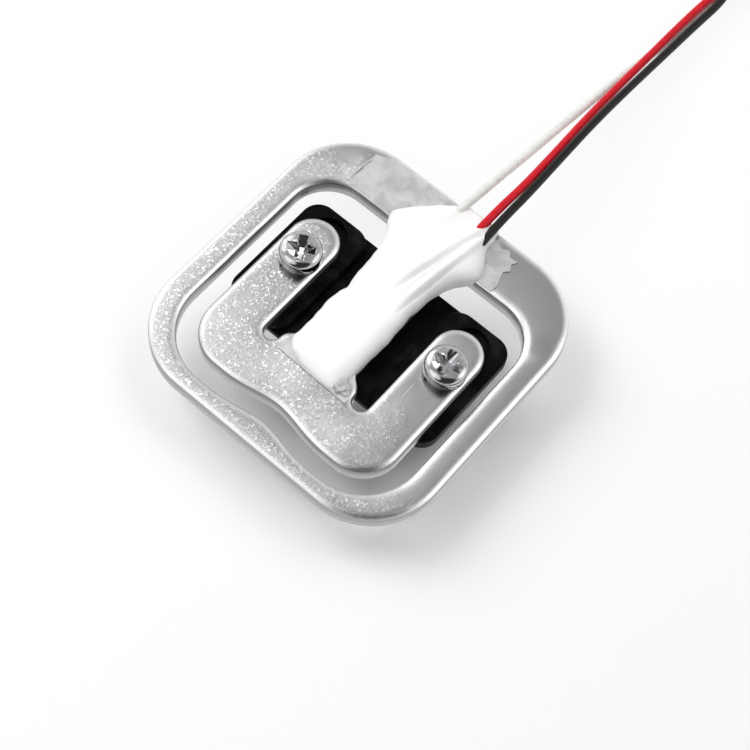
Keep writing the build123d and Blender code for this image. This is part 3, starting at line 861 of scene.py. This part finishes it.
for cutter in (arm, other_arm):
    bpy.data.objects.remove(cutter)
print("recess", recess_depth, "mm deep")

# %% [markdown]
# ## The shank, and a screw for each place
# The shank is a plain rod in the insert, where nobody sees its thread. The screw is modelled
# once, and each place gets a copy with its own mesh, turned as the screwdriver left it.

# %% Place the screws
shank_radius, shank_overlap = 1.2, 0.02
shank_top, shank_bottom = washer_top + shank_overlap, screw_low.z / MM
bpy.ops.object.select_all(action="DESELECT")
bpy.ops.mesh.primitive_cylinder_add(vertices=48, radius=shank_radius,
                                    depth=shank_top - shank_bottom,
                                    location=(0, 0, (shank_top + shank_bottom) / 2))
shank = bpy.context.object
pick(head, shank)
bpy.ops.object.join()
for name, turn in (("left", 29), ("right", 10)):
    screw = bpy.data.objects.new("pan_head_screw_" + name, head.data.copy())
    bpy.context.scene.collection.objects.link(screw)
    screw.data.name = screw.name
    centre = screw_places[name]
    screw.data.transform(Matrix.Scale(MM, 4) @ Matrix.Translation((centre.x, centre.y, 0))
                         @ Matrix.Rotation(math.radians(turn), 4, "Z"))
    hand_over(screw, zinc, "plated_screw", "screw_" + name)
bpy.data.objects.remove(head)

# %% [markdown]
# ## The lock washers
# A spring washer is a cut ring of square wire. The CAD ring has the cut, so it need not be
# spun again, and a merged copy of it only needs its edges eased.

# %% Make the lock washers
for name in ("left", "right"):
    washer = merged_copy("lock_washer_" + name, "spring_washer_" + name)
    eased = washer.modifiers.new("eased edges", "BEVEL")
    eased.width = 0.06 * MM
    eased.segments = 2
    eased.limit_method = "ANGLE"
    eased.angle_limit = math.radians(40)
    finish_shape(washer, washer.name, 30)
    hand_over(washer, spring_zinc, "spring_steel", "lock_washer_" + name)

# %% [markdown]
# ## The table
# The part lies on a plain white table. Towards its far left the table has a painted glow,
# which only the camera sees, and it fades towards the viewer to a surface that keeps the shadow.
# Metal mirrors the table as if it glowed all over. Light that has met a matt surface finds no
# glow, and the glow isn't sampled as a lamp, because both would light the part from below and
# speckle the leads.

# %% Lay the table
table_side = 4  # in metres, so that its edge is out of sight
bpy.ops.object.select_all(action="DESELECT")
bpy.ops.mesh.primitive_plane_add(size=table_side)
table = bpy.context.object
table.name = "table"
table_paint = bpy.data.materials.new("pale_table")
table_paint.use_nodes = True
tree = table_paint.node_tree
shader = tree.nodes["Principled BSDF"]
shader.inputs["Base Color"].default_value = linear("#F8F8F8")
shader.inputs["Roughness"].default_value = 0.8
glow = add_node(tree, "ShaderNodeEmission", None, {"Color": (1, 1, 1, 1), "Strength": 1.0})
rays = add_node(tree, "ShaderNodeLightPath").outputs
place = add_node(tree, "ShaderNodeTexCoord").outputs["Object"]
far_left = add_node(tree, "ShaderNodeVectorMath", {"operation": "DOT_PRODUCT"},
                    {0: place, 1: (-0.707 / MM, 0.707 / MM, 0)})
# Painted glow: the camera sees the table glow more towards its far left, fading towards the
# viewer.
painted_glow_far_left = add_node(tree, "ShaderNodeMapRange", None,
                      {"Value": far_left.outputs["Value"], "From Min": -9.0,
                       "From Max": 8.0, "To Min": 0.05, "To Max": 0.85})
seen = add_node(tree, "ShaderNodeMath", {"operation": "MULTIPLY"},
                {0: rays["Is Camera Ray"], 1: painted_glow_far_left.outputs["Result"]})
mirrored = add_node(tree, "ShaderNodeMath", {"operation": "MAXIMUM"},
                    {0: rays["Is Glossy Ray"], 1: rays["Is Transmission Ray"]})
unlit = add_node(tree, "ShaderNodeMath", {"operation": "LESS_THAN"},
                 {0: rays["Diffuse Depth"], 1: 0.5})
mirrored = add_node(tree, "ShaderNodeMath", {"operation": "MULTIPLY"},
                    {0: mirrored.outputs[0], 1: unlit.outputs[0]})
share = add_node(tree, "ShaderNodeMath", {"operation": "MAXIMUM"},
                 {0: seen.outputs[0], 1: mirrored.outputs[0]})
paint = add_node(tree, "ShaderNodeMixShader", None,
                 {0: share.outputs[0], 1: shader.outputs[0], 2: glow.outputs[0]})
tree.links.new(paint.outputs[0], tree.nodes["Material Output"].inputs["Surface"])
table_paint.cycles.emission_sampling = "NONE"
table.data.materials.append(table_paint)
print("table", table_side, "m wide")

# %% [markdown]
# ## What the metal mirrors
# A polished part is a picture of its room. This one is bright at the horizon and half as bright
# overhead. A dark area behind the viewer turns the front of each round head black. Of four
# soft panels, the strong one lights up the left of the flat steel, and the others turn its
# rims white. They could be lamps, but a lamp also lights the silicone, and only the metal
# needs them.

# %% Reflections of the room
world = bpy.data.worlds.new("soft studio")
bpy.context.scene.world = world
world.use_nodes = True
tree = world.node_tree
tree.nodes.clear()
ray = add_node(tree, "ShaderNodeTexCoord").outputs["Generated"]
height = add_node(tree, "ShaderNodeSeparateXYZ", None, {0: ray}).outputs["Z"]
mirrored = add_node(tree, "ShaderNodeMapRange", None,
                    {"Value": height, "To Min": 1.0, "To Max": 0.5})
viewer_side = add_node(tree, "ShaderNodeVectorMath", {"operation": "DOT_PRODUCT"},
                       {0: ray, 1: (0.45, -0.60, 0.66)})
dimming = add_node(tree, "ShaderNodeMapRange", {"interpolation_type": "SMOOTHSTEP"},
                   {"Value": viewer_side.outputs["Value"], "From Min": 0.70, "From Max": 0.84,
                    "To Min": 1.0, "To Max": 0.08})
mirrored = add_node(tree, "ShaderNodeMath", {"operation": "MULTIPLY"},
                    {0: mirrored.outputs["Result"], 1: dimming.outputs["Result"]})
panels = [  # direction, cosines at its soft edge and at its bright middle, strength
    ((-0.38, 0.23, 0.896), 0.978, 0.995, 3.3),
    ((-0.82, 0.15, 0.55), 0.90, 0.95, 1.0),
    ((0.66, 0.45, 0.60), 0.92, 0.96, 1.0),
    ((-0.25, -0.55, 0.80), 0.91, 0.96, 1.0),
]
for direction, edge, middle, strength in panels:
    towards = add_node(tree, "ShaderNodeVectorMath", {"operation": "DOT_PRODUCT"},
                       {0: ray, 1: direction})
    panel = add_node(tree, "ShaderNodeMapRange", {"interpolation_type": "SMOOTHSTEP"},
                     {"Value": towards.outputs["Value"], "From Min": edge, "From Max": middle,
                      "To Min": 0.0, "To Max": strength})
    mirrored = add_node(tree, "ShaderNodeMath", {"operation": "ADD"},
                        {0: mirrored.outputs[0], 1: panel.outputs["Result"]})
print(len(panels), "panels")

# %% [markdown]
# ## What lights the matt pieces
# A band of sky halfway up lights them, stronger from the viewer's side, and little comes from
# overhead, so that the plate's gaps fall into shade. The camera sees plain white, which is the
# photograph's background, and light that passes through the adhesive sees it too.

# %% Light of the room
rising = add_node(tree, "ShaderNodeMapRange", {"interpolation_type": "SMOOTHSTEP"},
                  {"Value": height, "From Min": 0.38, "From Max": 0.56, "To Max": 1.0})
falling = add_node(tree, "ShaderNodeMapRange", {"interpolation_type": "SMOOTHSTEP"},
                   {"Value": height, "From Min": 0.80, "From Max": 0.93,
                    "To Min": 1.0, "To Max": 0.12})
fill = add_node(tree, "ShaderNodeMapRange", {"interpolation_type": "SMOOTHSTEP"},
                {"Value": viewer_side.outputs["Value"], "From Min": -0.2, "From Max": 0.7,
                 "To Min": 0.55, "To Max": 1.25})
band = add_node(tree, "ShaderNodeMath", {"operation": "MULTIPLY"},
                {0: rising.outputs["Result"], 1: falling.outputs["Result"]})
band = add_node(tree, "ShaderNodeMath", {"operation": "MULTIPLY"},
                {0: band.outputs[0], 1: fill.outputs["Result"]})
rays = add_node(tree, "ShaderNodeLightPath").outputs
level = add_node(tree, "ShaderNodeMix", {"data_type": "FLOAT"},
                 {0: rays["Is Diffuse Ray"], 2: mirrored.outputs[0], 3: band.outputs[0]})
studio = add_node(tree, "ShaderNodeBackground", None,
                  {"Color": (1, 1, 1, 1), "Strength": level.outputs[0]})
white = add_node(tree, "ShaderNodeBackground", None, {"Color": (1, 1, 1, 1), "Strength": 1.0})
seen = add_node(tree, "ShaderNodeMath", {"operation": "MAXIMUM"},
                {0: rays["Is Camera Ray"], 1: rays["Is Transmission Ray"]})
mix = add_node(tree, "ShaderNodeMixShader", None,
               {0: seen.outputs[0], 1: studio.outputs[0], 2: white.outputs[0]})
add_node(tree, "ShaderNodeOutputWorld", None, {"Surface": mix.outputs[0]})
print("world", world.name)

# %% [markdown]
# ## The softboxes
# One softbox stands at the left and one at the far end. They give the silicone its form and
# the part its soft shadow. Metal doesn't see them, because the room already has its panels.

# %% Set the softboxes
softboxes = {  # place, power and size
    "left": ((-0.289, -0.034, 0.243), 0.80, 0.22),
    "far": ((0.032, 0.25, 0.315), 0.24, 0.20),
}
for name, (spot, watts, size) in softboxes.items():
    bpy.ops.object.light_add(type="AREA", location=spot)
    box = bpy.context.object
    box.name = "softbox_" + name
    box.data.size = size
    box.visible_glossy = False
    box.data.energy = watts
    box.rotation_euler = (-box.location).to_track_quat("-Z", "Y").to_euler()
bpy.context.scene.view_settings.view_transform = "Standard"
print(len(softboxes), "softboxes")
